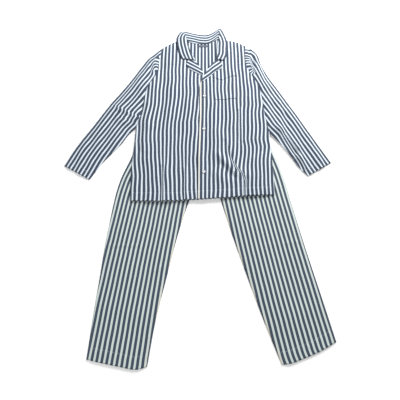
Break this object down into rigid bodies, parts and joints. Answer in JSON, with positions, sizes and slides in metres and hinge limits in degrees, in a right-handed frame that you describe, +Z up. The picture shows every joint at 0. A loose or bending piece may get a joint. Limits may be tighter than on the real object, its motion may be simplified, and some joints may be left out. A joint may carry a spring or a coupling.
{
  "type": "pyjama set",
  "caption": "Striped pyjama set laid flat: long-sleeved buttoned top with notched collar and chest pocket, over straight-legged trousers",
  "frame": {"origin": "on the surface the set lies on, under the middle of its outline", "axes": "+Z up from the surface, +Y from the trouser hems to the collar, +X to the wearer's left"},
  "size_m": [1.0904, 1.5081, 0.0176],
  "materials": {
    "top_cloth": "woven cotton, slate blue and cool white stripes",
    "trouser_cloth": "woven cotton, slate blue and warm white stripes",
    "label_cloth": "bare dark blue woven tape",
    "button": "pale cream, satin gloss"
  },
  "bodies": {
    "root": {"back": "top_cloth", "front_left": "top_cloth", "front_right": "top_cloth", "facing_left": "top_cloth", "facing_right": "top_cloth", "sleeve_left": "top_cloth", "sleeve_right": "top_cloth", "collar": "top_cloth", "chest_pocket": "top_cloth", "neck_label": "label_cloth", "button_1": "button", "button_2": "button", "button_3": "button", "leg_left": "trouser_cloth", "leg_right": "trouser_cloth", "waistband": "trouser_cloth"}
  },
  "joints": []
}
